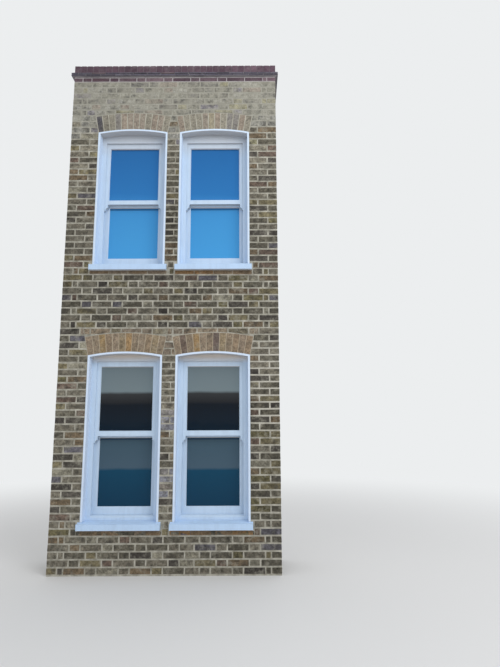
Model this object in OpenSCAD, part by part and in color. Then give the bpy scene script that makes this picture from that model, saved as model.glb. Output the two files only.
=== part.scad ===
// Two-storey square bay window of a brick terrace house, cut off at the house wall.
// The brick face of the bay looks along -Y, the house stands at +Y, the ground is z = 0.
// Inside the pieces y is counted from the brick face inwards; bay() puts them in place.

/* [Bay] */
// Width of the bay over its brick faces
bay_w = 2410; // [2300:5:2700]
// Distance from the house wall to the brick face of the bay
projection = 575; // [520:5:800]
// Thickness of the one-brick walls
wall_t = 225; // [220:1:260]
// Width of each pier at the corners
side_pier_w = 320; // [290:5:380]
// Width of the pier between two windows
centre_pier_w = 146; // [130:1:220]

/* [Storeys] */
// Height of the ground floor over the ground
ground_floor_h = 100; // [50:5:200]
// Height of the ground storey's sills over the ground
ground_sill_h = 525; // [450:5:640]
// Height of the ground storey's windows, from the sill to the springing
ground_window_h = 1740; // [1500:5:1900]
// Height of the ground storey's meeting rails over the sill
ground_meeting_h = 870; // [760:5:960]
// Drop of the ground storey's frame heads below the springing
ground_head_drop = 55; // [30:1:70]
// Height of the first floor over the ground storey's springing
first_floor_rise = 435; // [390:5:560]
// Height of the first storey's sills over the first floor
first_sill_h = 595; // [500:5:680]
// Height of the first storey's windows, from the sill to the springing
first_window_h = 1610; // [1400:5:1800]
// Height of the first storey's meeting rails over the sill
first_meeting_h = 767; // [700:1:860]
// Drop of the first storey's frame heads below the springing
first_head_drop = 80; // [50:1:95]
// Height of the roof boards over the first storey's springing
roof_rise = 385; // [340:5:460]
// Height of the stock brickwork over the roof boards
parapet_h = 270; // [220:5:360]

/* [Arches] */
// Rise of the segmental arches
arch_rise = 40; // [30:1:70]
// Depth of the arch ring from intrados to extrados
arch_ring = 205; // [110:1:220]
// Depth of the outer half brick, from the brick face to the window frame
reveal_d = 108; // [95:1:114]

/* [Parapet] */
// Height of the red brick course
red_course_h = 65; // [60:1:90]
// Height of the tile creasing
creasing_h = 45; // [30:1:60]
// Projection of the creasing on either side of the wall
creasing_out = 30; // [15:1:50]
// Height of the brick-on-edge coping
coping_h = 102; // [90:1:120]

/* [Sills] */
// Height of the sills
sill_h = 75; // [60:1:100]
// Projection of the sills from the brick face
sill_out = 50; // [35:1:70]
// Length of a sill beyond its opening at each end
sill_end = 25; // [15:1:45]
// Fall of the sill top from the frame to the nose
sill_fall = 14; // [5:1:20]
// Length of sill under the window frame
sill_tail = 55; // [30:1:100]
// Radius of the drip groove under the nose
drip_r = 6; // [3:0.5:8]
// Distance from the nose to the middle of the drip groove
drip_in = 20; // [12:1:25]

/* [Frames] */
// Thickness of the white lining of the reveals
lining_t = 22; // [12:1:30]
// Face of the box frame that shows beside a sash
frame_face = 52; // [35:1:60]
// Width of the box frame hidden behind the brickwork
frame_cover = 35; // [15:1:50]
// Thickness of the outer lining of a box frame
outer_lining_t = 20; // [14:1:24]
// Overlap of the linings and beads on the sashes
sash_lap = 12; // [8:1:18]
// Thickness of the parting bead
parting_bead_t = 8; // [6:0.5:12]
// Distance that the parting bead stands out of the pulley stile
parting_bead_out = 10; // [6:1:11]
// Height of the timber sill of a box frame
timber_sill_h = 45; // [35:1:70]
// Drop of the weathering on the front of the timber sill
timber_sill_drop = 14; // [5:1:22]

/* [Sashes] */
// Thickness of a sash
sash_t = 42; // [36:1:43]
// Clearance between a sash and its runners
sash_play = 1.5; // [1:0.25:2]
// Width of a stile that shows beside the glass
stile_face = 46; // [35:1:60]
// Height of the top rail of a top sash
top_rail_h = 77; // [55:1:90]
// Height of the bottom rail of a bottom sash
bottom_rail_h = 82; // [60:1:110]
// Height on which the two meeting rails touch
meeting_h = 48; // [35:1:60]
// Height of the meeting rail of a bottom sash, down to its glass
inner_meeting_h = 73; // [60:1:85]
// Length of the horns under the top sash
horn_l = 75; // [50:1:90]
// Width of a horn at its foot
horn_foot_w = 18; // [14:1:30]
// Thickness of the glass
glass_t = 4; // [3:0.5:6]
// Depth of the putty bevel in front of the glass
putty_d = 12; // [8:1:15]
// Width of the putty bevel
putty_w = 8; // [5:1:12]
// Width of the glass held in the sash
glass_grip = 6; // [4:1:10]
// Size of the chamfer on the room side of the sash bars
moulding = 8; // [5:1:12]

/* [Room side] */
// Thickness of the plaster
plaster_t = 16; // [12:1:25]
// Thickness of the first floor, joists and boards
floor_t = 190; // [150:5:230]
// Thickness of the roof's joists and boards
deck_t = 140; // [110:5:180]
// Width of the architraves
architrave_w = 70; // [50:1:90]
// Thickness of the architraves
architrave_t = 14; // [10:1:20]
// Extra thickness of the back band on an architrave's outer edge
back_band_t = 8; // [4:1:12]
// Width of the back band
back_band_w = 18; // [12:1:25]
// Part of the frame that shows inside an architrave
architrave_margin = 14; // [6:1:20]
// Depth of the window boards
board_out = 62; // [45:1:90]
// Thickness of the window boards
board_t = 28; // [20:1:36]
// Length of a window board beyond the architraves
board_end = 18; // [10:1:22]

/* [Lead roof] */
// Thickness of the lead
lead_t = 4; // [2:0.5:6]
// Height of the lead turned up against the parapet
lead_up = 150; // [100:5:160]
// Radius of the rolls between two sheets of lead
lead_roll_r = 22; // [15:1:30]
// Number of rolls
lead_rolls = 2; // [1:1:4]

/* [Hidden] */
$fn = 128;
arch_fn = 720; // the arches' circles are large, so they take more facets
over = 1; // how far a cut runs past the face that it opens

face_y = (sill_out - projection) / 2;
opening_w = (bay_w - 2 * side_pier_w - centre_pier_w) / 2;
window_x = (opening_w + centre_pier_w) / 2;
room_w = bay_w - 2 * wall_t;
room_y = wall_t + plaster_t;

arch_r = (pow(opening_w / 2, 2) + pow(arch_rise, 2)) / (2 * arch_rise);
arch_a = asin(opening_w / 2 / arch_r);

// the opening of the box frame, and the wider runner in which the sashes slide
light_w = opening_w - 2 * (lining_t + frame_face);
runner_w = light_w + 2 * sash_lap;
outer_sash_y = reveal_d + outer_lining_t + sash_play;
parting_y = outer_sash_y + sash_t + sash_play;
inner_sash_y = parting_y + parting_bead_t + sash_play;
staff_y = inner_sash_y + sash_t + sash_play;
sash_w = runner_w - 2 * sash_play;
glass_w = light_w - 2 * stile_face;
meeting_gap = inner_sash_y - outer_sash_y - sash_t;

// a storey is its sill, the underside of its outer meeting rails, its springing and its frame heads
function storey(sill, meeting, spring, drop) =
  [sill, sill + meeting, sill + spring, sill + spring - drop];
ground = storey(ground_sill_h, ground_meeting_h, ground_window_h, ground_head_drop);
first_floor_z = spring_z(ground) + first_floor_rise;
first = storey(first_floor_z + first_sill_h, first_meeting_h, first_window_h, first_head_drop);
roof_z = spring_z(first) + roof_rise;
parapet_z = roof_z + parapet_h;
creasing_z = parapet_z + red_course_h;
coping_z = creasing_z + creasing_h;
left = -1;
right = 1;

function sill_z(s) = s[0];
function meeting_z(s) = s[1];
function spring_z(s) = s[2];
function head_z(s) = s[3];
function stool_z(s) = sill_z(s) + timber_sill_h;

module bay() { translate([0, face_y, 0]) children(); }
module window(side) { bay() translate([side * window_x, 0, 0]) children(); }

// an elevation drawn in X and Z, made solid from y0 over a depth d
module along_y(y0, d) { translate([0, y0 + d, 0]) rotate([90, 0, 0]) linear_extrude(d) children(); }
// a section drawn in Y and Z, made solid over a length w centred on x = 0
module along_x(w) { translate([-w / 2, 0, 0]) rotate([90, 0, 90]) linear_extrude(w) children(); }
// a rectangle of the elevation, centred on x = 0
module panel(w, z0, z1) { translate([-w / 2, z0]) square([w, z1 - z0]); }
// a block centred on x = 0
module block(w, y0, y1, z0, z1) { translate([-w / 2, y0, z0]) cube([w, y1 - y0, z1 - z0]); }

// puts a shape's origin at the centre of a storey's arches
module arch_centre(s) { translate([0, spring_z(s) + arch_rise - arch_r]) children(); }
// elevation of a round of radius r about the centre of a storey's arches
module arch_round(s, r) { arch_centre(s) circle(r, $fn = arch_fn); }

// elevation of an opening with its arched head, made smaller all round by inset
module arched_opening(s, inset) {
  intersection() {
    panel(opening_w - 2 * inset, sill_z(s), spring_z(s) + arch_rise);
    arch_round(s, arch_r - inset);
  }
}

// elevation of the wedge between the two skewbacks
module skewbacks(s) {
  reach = 2 * (arch_r + arch_ring);
  arch_centre(s)
    polygon([[0, 0], [-reach * sin(arch_a), reach * cos(arch_a)],
             [reach * sin(arch_a), reach * cos(arch_a)]]);
}

// elevation of the hole that the arch ring and the opening leave in the outer half brick
module arch_hole(s) {
  panel(opening_w, sill_z(s) - over, spring_z(s) + over);
  intersection() {
    skewbacks(s);
    arch_round(s, arch_r + arch_ring);
    panel(2 * opening_w, spring_z(s), spring_z(s) + 2 * (arch_rise + arch_ring));
  }
}

module frame_pocket(s, y0, y1) {
  block(opening_w + 2 * frame_cover, y0, y1, sill_z(s), spring_z(s) + arch_rise);
}

module wall_cuts(s) {
  along_y(-over, reveal_d + over) arch_hole(s);
  frame_pocket(s, reveal_d, wall_t + over);
  block(opening_w + 2 * sill_end, -over, reveal_d + sill_tail, sill_z(s) - sill_h, sill_z(s));
}

module front_wall() {
  color("#8d8672") bay() difference() {
    block(bay_w, 0, wall_t, 0, parapet_z);
    for (s = [ground, first], side = [left, right])
      translate([side * window_x, 0, 0]) wall_cuts(s);
  }
}

module return_wall(side) {
  color("#837c69") bay() translate([side * (bay_w - wall_t) / 2, 0, 0])
    block(wall_t, wall_t, projection, 0, parapet_z);
}

module arch(s, side) {
  color("#a08466") window(side) along_y(0, reveal_d) difference() {
    intersection() {
      skewbacks(s);
      arch_round(s, arch_r + arch_ring);
    }
    arch_round(s, arch_r);
  }
}

// plan of a course that runs round the front and both returns, wider than the wall by out
module course_plan(out) {
  difference() {
    translate([-bay_w / 2 - out, -out]) square([bay_w + 2 * out, projection + out]);
    translate([-room_w / 2 + out, wall_t + out])
      square([room_w - 2 * out, projection - wall_t - out + over]);
  }
}

module course(z, h, out) { bay() translate([0, 0, z]) linear_extrude(h) course_plan(out); }

module red_brick_course() { color("#7d4038") course(parapet_z, red_course_h, 0); }
module tile_creasing() { color("#5c5a52") course(creasing_z, creasing_h, creasing_out); }
module brick_on_edge_coping() { color("#84453c") course(coping_z, coping_h, 0); }

module sill(s, side) {
  top = sill_z(s);
  bottom = top - sill_h;
  nose = top - sill_fall;
  face_top = nose + sill_fall * sill_out / (sill_out + reveal_d);
  tail = reveal_d + sill_tail;
  color("#dfe3e8") window(side) union() {
    // the weathered length between the linings
    along_x(opening_w - 2 * lining_t)
      polygon([[0, bottom], [0, face_top], [reveal_d, top], [tail, top], [tail, bottom]]);
    // the flat stools that carry the linings and the jambs
    for (end = [left, right])
      translate([end * ((opening_w + sill_end - lining_t) / 2), 0, 0])
        block(sill_end + lining_t, 0, tail, bottom, top);
    // the nose with its drip groove
    along_x(opening_w + 2 * sill_end) difference() {
      polygon([[-sill_out, bottom], [-sill_out, nose], [0, face_top], [0, bottom]]);
      translate([drip_in - sill_out, bottom]) circle(drip_r);
    }
  }
}

module reveal(s, side) {
  color("#e8edf4") window(side) along_y(0, reveal_d) difference() {
    arched_opening(s, 0);
    intersection() {
      panel(opening_w - 2 * lining_t, sill_z(s) - over, spring_z(s) + arch_rise);
      arch_round(s, arch_r - lining_t);
    }
  }
}

// the jambs and the head of a box frame, which stand on its timber sill
module box_frame(s, side) {
  foot = stool_z(s) - over;
  color("#e6eaf0") window(side) difference() {
    block(opening_w + 2 * frame_cover, reveal_d, room_y, stool_z(s), spring_z(s) + arch_rise);
    // between the outer linings
    block(light_w, reveal_d - over, outer_sash_y, foot, head_z(s));
    // the runner of the top sash, the space between the parting beads, and the other runner
    block(runner_w, outer_sash_y - sash_play, parting_y, foot, head_z(s) + sash_lap);
    block(runner_w - 2 * parting_bead_out, parting_y - over, inner_sash_y,
          foot, head_z(s) + sash_lap - parting_bead_out);
    block(runner_w, parting_y + parting_bead_t, staff_y, foot, head_z(s) + sash_lap);
    // between the staff beads
    block(light_w, staff_y - over, room_y + over, foot, head_z(s));
  }
}

// the timber sills of both box frames of a storey, weathered in front of the sashes
module timber_sills(s) {
  lip_z = stool_z(s) - timber_sill_drop;
  color("#e2e6ec") for (side = [left, right]) window(side) difference() {
    block(opening_w + 2 * frame_cover, reveal_d, room_y, sill_z(s), stool_z(s));
    along_x(light_w)
      polygon([[reveal_d - over, lip_z], [reveal_d, lip_z],
               [reveal_d + outer_lining_t, stool_z(s)],
               [reveal_d + outer_lining_t, stool_z(s) + over], [reveal_d - over, stool_z(s) + over]]);
  }
}

// a cut that narrows by w from its mouth at y0 to the glass at y1
module bevel(y0, y1, w, z0, z1) {
  past = over * (y1 > y0 ? -1 : 1);
  mouth = w * (1 + over / abs(y1 - y0));
  intersection() {
    along_x(glass_w + 2 * mouth)
      polygon([[y0 + past, z0 - mouth], [y0 + past, z1 + mouth], [y1, z1], [y1, z0]]);
    translate([0, 0, z0 - mouth]) linear_extrude(z1 - z0 + 2 * mouth)
      polygon([[-glass_w / 2 - mouth, y0 + past], [glass_w / 2 + mouth, y0 + past],
               [glass_w / 2, y1], [-glass_w / 2, y1]]);
  }
}

// what is cut out of a sash whose glass shows from z0 to z1
module glazing(y, z0, z1) {
  glass_y = y + putty_d;
  bevel(y, glass_y, putty_w, z0, z1);
  block(glass_w + 2 * glass_grip, glass_y, glass_y + glass_t, z0 - glass_grip, z1 + glass_grip);
  block(glass_w, glass_y, y + sash_t + over, z0, z1);
  bevel(y + sash_t, y + sash_t - moulding, moulding, z0, z1);
}

module pane(y, z0, z1) {
  block(glass_w + 2 * glass_grip, y + putty_d, y + putty_d + glass_t,
        z0 - glass_grip, z1 + glass_grip);
}

function top_glass(s) = [meeting_z(s) + meeting_h + putty_w, head_z(s) + sash_lap - top_rail_h];
function bottom_glass(s) = [stool_z(s) + bottom_rail_h, meeting_z(s) + meeting_h - inner_meeting_h];

// a curved horn that carries a stile on below the meeting rail
module horn(s) {
  w = (sash_w - glass_w) / 2;
  cove = w - horn_foot_w;
  along_y(outer_sash_y, sash_t) translate([-sash_w / 2, meeting_z(s) - horn_l]) difference() {
    square([w, horn_l + over]);
    translate([w, 0]) circle(cove);
    translate([w - cove / 3, cove]) square([cove, horn_l - cove - cove / 3]);
    translate([w, horn_l - cove / 3]) circle(cove / 3);
  }
}

module top_sash(s, side) {
  z = meeting_z(s);
  y1 = outer_sash_y + sash_t;
  bead_w = runner_w - 2 * (parting_bead_out + sash_play);
  color("#e9eef5") window(side) difference() {
    union() {
      block(sash_w, outer_sash_y, y1, z, head_z(s) + sash_lap);
      // the meeting rail is splayed to shut against the other one
      along_x(bead_w) polygon([[y1 - over, z], [y1 + meeting_gap, z], [y1, z + meeting_h],
                               [y1 - over, z + meeting_h]]);
      for (end = [0, 1]) mirror([end, 0, 0]) horn(s);
    }
    glazing(outer_sash_y, top_glass(s)[0], top_glass(s)[1]);
  }
}

module bottom_sash(s, side) {
  z = meeting_z(s);
  bead_w = runner_w - 2 * (parting_bead_out + sash_play);
  color("#e2e7ee") window(side) difference() {
    union() {
      block(sash_w, inner_sash_y, inner_sash_y + sash_t, stool_z(s), z + meeting_h);
      along_x(bead_w)
        polygon([[inner_sash_y + over, z], [inner_sash_y, z],
                 [inner_sash_y - meeting_gap, z + meeting_h], [inner_sash_y + over, z + meeting_h]]);
    }
    glazing(inner_sash_y, bottom_glass(s)[0], bottom_glass(s)[1]);
  }
}

module glass(s, side) {
  color("#4f7fa8") window(side) {
    pane(outer_sash_y, top_glass(s)[0], top_glass(s)[1]);
    pane(inner_sash_y, bottom_glass(s)[0], bottom_glass(s)[1]);
  }
}

module ground_floor() {
  color("#8a6a4a") bay() block(room_w, wall_t, projection, 0, ground_floor_h);
}
module first_floor() {
  color("#8a6a4a") bay() block(room_w, wall_t, projection, first_floor_z - floor_t, first_floor_z);
}
module roof_deck() {
  color("#8a6a4a") bay() block(room_w, wall_t, projection, roof_z - deck_t, roof_z);
}

module lead_roof() {
  roll_gap = room_w / (lead_rolls + 1);
  color("#7b8288") bay() union() {
    difference() {
      block(room_w, wall_t, projection, roof_z, roof_z + lead_up);
      block(room_w - 2 * lead_t, wall_t + lead_t, projection + over, roof_z + lead_t,
            roof_z + lead_up + over);
    }
    for (i = [1:lead_rolls])
      translate([i * roll_gap - room_w / 2, 0, 0]) along_y(wall_t + lead_t / 2, projection - wall_t - lead_t / 2)
        intersection() {
          translate([0, roof_z + lead_t]) circle(lead_roll_r);
          panel(2 * lead_roll_r + over, roof_z + lead_t / 2, roof_z + lead_t + lead_roll_r + over);
        }
  }
}

module room_plaster(s, floor, ceiling) {
  color("#dedbd2") bay() difference() {
    block(room_w, wall_t, projection, floor, ceiling);
    block(room_w - 2 * plaster_t, room_y, projection + over, floor - over, ceiling - plaster_t);
    for (side = [left, right])
      translate([side * window_x, 0, 0]) frame_pocket(s, wall_t - over, room_y + over);
  }
}

// a board under the windows of each storey, with a round nose
module window_boards() {
  w = 2 * (window_x + light_w / 2 + architrave_margin + architrave_w + board_end);
  color("#e4e3dd") for (s = [ground, first]) bay() along_x(w) union() {
    translate([room_y, stool_z(s) - board_t]) square([board_out - board_t / 2, board_t]);
    translate([room_y + board_out - board_t / 2, stool_z(s) - board_t / 2]) circle(board_t / 2);
  }
}

// three sides of moulded trim round each window, standing on the window board
module architraves(s) {
  inner_w = light_w + 2 * architrave_margin;
  inner_z = head_z(s) + architrave_margin;
  outer_w = inner_w + 2 * architrave_w;
  outer_z = inner_z + architrave_w;
  color("#e4e3dd") for (side = [left, right]) window(side) {
    along_y(room_y, architrave_t) difference() {
      panel(outer_w, stool_z(s), outer_z);
      panel(inner_w, stool_z(s) - over, inner_z);
    }
    along_y(room_y + architrave_t / 2, architrave_t / 2 + back_band_t) difference() {
      panel(outer_w, stool_z(s), outer_z);
      panel(outer_w - 2 * back_band_w, stool_z(s) - over, outer_z - back_band_w);
    }
  }
}

front_wall();
return_wall(left);  // left_return_wall
return_wall(right);  // right_return_wall
red_brick_course();
tile_creasing();
brick_on_edge_coping();
ground_floor();
first_floor();
roof_deck();
lead_roof();
room_plaster(ground, ground_floor_h, first_floor_z - floor_t);  // ground_room_plaster
room_plaster(first, first_floor_z, roof_z - deck_t);  // first_room_plaster
window_boards();
architraves(ground);  // ground_architraves
architraves(first);  // first_architraves
arch(ground, left);  // ground_left_arch
arch(ground, right);  // ground_right_arch
arch(first, left);  // first_left_arch
arch(first, right);  // first_right_arch
sill(ground, left);  // ground_left_sill
sill(ground, right);  // ground_right_sill
sill(first, left);  // first_left_sill
sill(first, right);  // first_right_sill
reveal(ground, left);  // ground_left_reveal
reveal(ground, right);  // ground_right_reveal
reveal(first, left);  // first_left_reveal
reveal(first, right);  // first_right_reveal
box_frame(ground, left);  // ground_left_box_frame
box_frame(ground, right);  // ground_right_box_frame
box_frame(first, left);  // first_left_box_frame
box_frame(first, right);  // first_right_box_frame
timber_sills(ground);  // ground_timber_sills
timber_sills(first);  // first_timber_sills
top_sash(ground, left);  // ground_left_top_sash
top_sash(ground, right);  // ground_right_top_sash
top_sash(first, left);  // first_left_top_sash
top_sash(first, right);  // first_right_top_sash
bottom_sash(ground, left);  // ground_left_bottom_sash
bottom_sash(ground, right);  // ground_right_bottom_sash
bottom_sash(first, left);  // first_left_bottom_sash
bottom_sash(first, right);  // first_right_bottom_sash
glass(ground, left);  // ground_left_glass
glass(ground, right);  // ground_right_glass
glass(first, left);  // first_left_glass
glass(first, right);  // first_right_glass
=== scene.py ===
"""Looks of a two-storey square bay window of a brick terrace house.

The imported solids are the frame. This script lays the bricks, arch bricks, tiles
and boards over them one by one, and gives every surface the finish of its
material. Lengths are in metres, in the frame of the solids, with the street
at -Y, the house at +Y and the ground at z = 0.
"""

import logging
import math
import random
from collections.abc import Iterator, Sequence
from dataclasses import dataclass, field, replace
from enum import Enum

import bmesh
import bpy
from mathutils import Matrix, Vector, noise


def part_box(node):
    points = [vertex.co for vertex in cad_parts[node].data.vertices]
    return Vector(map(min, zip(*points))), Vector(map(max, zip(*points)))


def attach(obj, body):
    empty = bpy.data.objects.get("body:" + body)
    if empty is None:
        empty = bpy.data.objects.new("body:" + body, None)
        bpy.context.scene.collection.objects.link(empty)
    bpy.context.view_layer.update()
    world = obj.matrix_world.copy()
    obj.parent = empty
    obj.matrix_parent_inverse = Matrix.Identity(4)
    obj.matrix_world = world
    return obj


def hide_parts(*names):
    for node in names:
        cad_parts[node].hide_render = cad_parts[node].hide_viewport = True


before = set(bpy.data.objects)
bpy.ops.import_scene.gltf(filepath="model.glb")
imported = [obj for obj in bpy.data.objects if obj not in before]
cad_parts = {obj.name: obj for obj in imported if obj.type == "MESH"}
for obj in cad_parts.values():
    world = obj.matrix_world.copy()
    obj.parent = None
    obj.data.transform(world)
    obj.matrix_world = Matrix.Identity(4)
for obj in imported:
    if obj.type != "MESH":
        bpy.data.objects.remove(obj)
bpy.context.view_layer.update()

LOG = logging.getLogger("bay_window")
Colour = tuple[float, float, float, float]
Cut = tuple[Vector, Vector]
Tree = bpy.types.NodeTree
Node = bpy.types.Node
Socket = bpy.types.NodeSocket
Links = dict[str | int, object] | Sequence[object]
Span = tuple[float, float]
Point = tuple[float, float, float]
# how near to a plane a corner counts as on it
TOUCH = 1e-4
# how near two corners are that count as one
WELD = 1e-5


@dataclass(frozen=True)
class BaySizes:
    """Sizes that the pieces of the bay share."""

    face: float = -0.2625
    house: float = 0.3125
    half: float = 1.205
    wall: float = 0.225
    gauge: float = 0.075
    joint: float = 0.012
    recess: float = 0.003
    opening: float = 0.812
    window_x: float = 0.479
    sill_h: float = 0.075
    sill_end: float = 0.025
    rise: float = 0.040
    ring: float = 0.205
    lead_top: float = 5.440
    parapet: float = 5.560
    creasing: float = 5.625
    coping: float = 5.670
    top: float = 5.772

    @property
    def inner(self) -> float:
        """Half the width between the inner faces of the returns."""
        return self.half - self.wall

    @property
    def back(self) -> float:
        """The inner face of the front wall."""
        return self.face + self.wall

    @property
    def radius(self) -> float:
        """Radius of the undersides of the arches."""
        return (self.opening**2 / 4 + self.rise**2) / (2 * self.rise)

    @property
    def arch_angle(self) -> float:
        """Angle from the middle of an arch to its skewbacks."""
        return math.asin(self.opening / 2 / self.radius)


BAY = BaySizes()


class Storey(Enum):
    """A storey, with its name, the top of its sills and the springing of its arches."""

    GROUND = ("ground", 0.525, 2.265)
    FIRST = ("first", 3.295, 4.905)

    @property
    def title(self) -> str:
        """Name of the storey in the names of its nodes."""
        return self.value[0]

    @property
    def sill(self) -> float:
        """Height of the top of the sills."""
        return self.value[1]

    @property
    def spring(self) -> float:
        """Height of the springing of the arches."""
        return self.value[2]


@dataclass(frozen=True)
class Window:
    """One of the four windows."""

    storey: Storey
    side: int

    @property
    def title(self) -> str:
        """Name of the window in the names of its nodes."""
        return f"{self.storey.title}_{'left' if self.side < 0 else 'right'}"

    @property
    def x(self) -> float:
        """Middle of the window."""
        return self.side * BAY.window_x

    @property
    def arch_centre(self) -> Vector:
        """Centre of the arch, in the plane of the brick face."""
        return Vector((self.x, BAY.face, self.storey.spring + BAY.rise - BAY.radius))


WINDOWS = tuple(Window(storey, side) for storey in Storey for side in (-1, 1))


def linear(hex_colour: str) -> Colour:
    """Turns an sRGB hex value to a linear colour.

    Args:
        hex_colour: the colour, such as "#8d8670".

    Returns:
        The linear red, green and blue, and an alpha of 1.
    """
    parts = [int(hex_colour[i : i + 2], 16) / 255 for i in (1, 3, 5)]
    red, green, blue = (
        c / 12.92 if c <= 0.04045 else ((c + 0.055) / 1.055) ** 2.4 for c in parts
    )
    return red, green, blue, 1.0


def per_metre(millimetres: float) -> float:
    """Scale of a pattern whose grains are so many millimetres wide."""
    return 1000.0 / millimetres


def connect(tree: Tree, node: Node, links: Links) -> None:
    """Puts a link or a value into a node's sockets.

    Args:
        tree: the material's or the world's nodes.
        node: the node.
        links: what goes in, an output to link or a value, by the socket's name or
            number, or for all the first sockets in order.
    """
    for name, value in links.items() if isinstance(links, dict) else enumerate(links):
        if isinstance(value, Socket):
            tree.links.new(value, node.inputs[name])
        else:
            node.inputs[name].default_value = value


def add(
    tree: Tree,
    kind: str,
    links: Links = (),
    stops: Sequence[tuple[float, str]] = (),
    **settings: object,
) -> Node:
    """Adds a node with its settings and links.

    Args:
        tree: the material's or the world's nodes.
        kind: the node's type, without the words that all types start with.
        links: what goes into its sockets.
        stops: the positions and hex colours of a colour ramp.
        **settings: the node's own properties.

    Returns:
        The node.
    """
    made = tree.nodes.new(f"ShaderNode{kind}")
    for name, value in settings.items():
        setattr(made, name, value)
    connect(tree, made, links)
    if stops:
        elements = made.color_ramp.elements
        while len(elements) < len(stops):
            elements.new(0.5)
        for element, (position, colour) in zip(elements, stops):
            element.position = position
            element.color = linear(colour)
    return made


def veil(
    tree: Tree, under: Socket | Colour, over: str, value: Socket, run: Span, share: float
) -> Socket:
    """Lays one colour over another, thicker as a value runs from one number to another.

    Args:
        tree: the material's nodes.
        under: the colour underneath.
        over: the hex colour on top.
        value: the output that says where the top colour lies.
        run: the values where it starts and where it is thickest.
        share: how much of it shows where it is thickest.

    Returns:
        The output with both colours.
    """
    part = add(tree, "MapRange", (value, *run, 0.0, share)).outputs["Result"]
    return add(tree, "Mix", {0: part, 6: under, 7: linear(over)}, data_type="RGBA").outputs[2]


@dataclass(frozen=True)
class Finish:
    """A finish, which is one material."""

    name: str

    def dress(self, tree: Tree, here: Socket) -> dict[str, object]:
        """Adds the finish's own nodes.

        Args:
            tree: the material's nodes.
            here: the output with the place on the object.

        Returns:
            What goes into the shader's sockets.
        """
        raise NotImplementedError

    def material(self) -> bpy.types.Material:
        """Gives the finish's material, which is made at its first use.

        Returns:
            The material.
        """
        made = bpy.data.materials.get(self.name)
        if made is None:
            made = bpy.data.materials.new(self.name)
            made.use_nodes = True
            tree = made.node_tree
            surface = self.dress(tree, add(tree, "TexCoord").outputs["Object"])
            connect(tree, tree.nodes["Principled BSDF"], surface)
        return made


@dataclass(frozen=True)
class FiredClay(Finish):
    """Clamp-fired brick clay: dull and open, with ash specks, pits, scorched patches
    and soot."""

    soot: str = "#45423d"
    soot_mm: float = 330.0
    soot_share: float = 0.40
    scorch_mm: float = 95.0
    scorch_share: float = 0.70
    lime: str = "#a9a698"
    lime_share: float = 0.50
    smear_mm: float = 70.0
    washed: Span = (4.9, 5.25)
    washed_lime: float = 0.14
    mottle: float = 0.62
    mottle_mm: float = 52.0
    speckle: float = 0.42
    speckle_mm: float = 18.0
    pit: str = "#2c2825"
    pit_mm: float = 8.0
    # real grit is about 1 mm, which wouldn't show
    grit_mm: float = 3.5
    relief: float = 0.0022
    roughness: float = 0.92
    tone_shift: float = 37.0

    def dress(self, tree: Tree, here: Socket) -> dict[str, object]:
        """Mottles each brick's own tone, and adds lime bloom, soot, ash pits and grit.

        Args:
            tree: the material's nodes.
            here: the output with the place on the object.

        Returns:
            What goes into the shader's sockets.
        """
        tone = add(tree, "Attribute", attribute_name="tone")
        # each brick's own tone moves its pattern, so no patch runs on into the next brick
        shift = (tone.outputs["Vector"], (self.tone_shift,) * 3, here)
        own = add(tree, "VectorMath", shift, operation="MULTIPLY_ADD").outputs["Vector"]
        mottle, speckle, scorch, patches, smears, grit = (
            add(
                tree,
                "TexNoise",
                {"Vector": at, "Scale": per_metre(grain), "Detail": detail, "Roughness": rough},
            ).outputs["Fac"]
            for at, grain, detail, rough in (
                (own, self.mottle_mm, 6.0, 0.62),
                (own, self.speckle_mm, 4.0, 0.6),
                (own, self.scorch_mm, 5.0, 0.6),
                (here, self.soot_mm, 7.0, 0.68),
                (here, self.smear_mm, 8.0, 0.7),
                (here, self.grit_mm, 4.0, 0.7),
            )
        )
        broad, fine = (
            add(tree, "MapRange", (grain, 0.3, 0.7, 1 - depth, 1 + depth)).outputs["Result"]
            for grain, depth in ((mottle, self.mottle), (speckle, self.speckle))
        )
        gain = add(tree, "Math", (broad, fine), operation="MULTIPLY").outputs[0]
        lit = {"Vector": tone.outputs["Color"], "Scale": gain}
        body = add(tree, "VectorMath", lit, operation="SCALE").outputs["Vector"]
        height = add(tree, "SeparateXYZ", (here,)).outputs["Z"]
        washed = add(tree, "MapRange", (height, *self.washed, 0.0, self.washed_lime)).outputs["Result"]
        bloom = add(tree, "Math", (smears, washed), operation="ADD").outputs[0]
        for over, value, run, share in (
            (self.soot, scorch, (0.54, 0.68), self.scorch_share),
            (self.soot, patches, (0.42, 0.74), self.soot_share),
            (self.lime, bloom, (0.52, 0.68), self.lime_share),
        ):
            body = veil(tree, body, over, value, run, share)
        pattern = {"Vector": here, "Scale": per_metre(self.pit_mm), "Randomness": 1.0}
        cells = add(tree, "TexVoronoi", pattern).outputs["Distance"]
        pits = add(tree, "MapRange", (cells, 0.10, 0.26, 0.55, 0.0)).outputs["Result"]
        sparse = add(tree, "MapRange", (mottle, 0.46, 0.60, 0.0, 1.0)).outputs["Result"]
        pitted = add(tree, "Math", (pits, sparse), operation="MULTIPLY").outputs[0]
        colour = add(tree, "Mix", {0: pitted, 6: body, 7: linear(self.pit)}, data_type="RGBA").outputs[2]
        rough = add(tree, "Math", (grit, 0.45, mottle), operation="MULTIPLY_ADD").outputs[0]
        sunk = add(tree, "Math", (pitted, -1.2, rough), operation="MULTIPLY_ADD").outputs[0]
        bump = add(tree, "Bump", {"Height": sunk, "Strength": 0.8, "Distance": self.relief})
        surface = {"Base Color": colour, "Normal": bump.outputs["Normal"], "Roughness": self.roughness}
        return surface | {"IOR": 1.45, "Specular IOR Level": 0.3}


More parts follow.
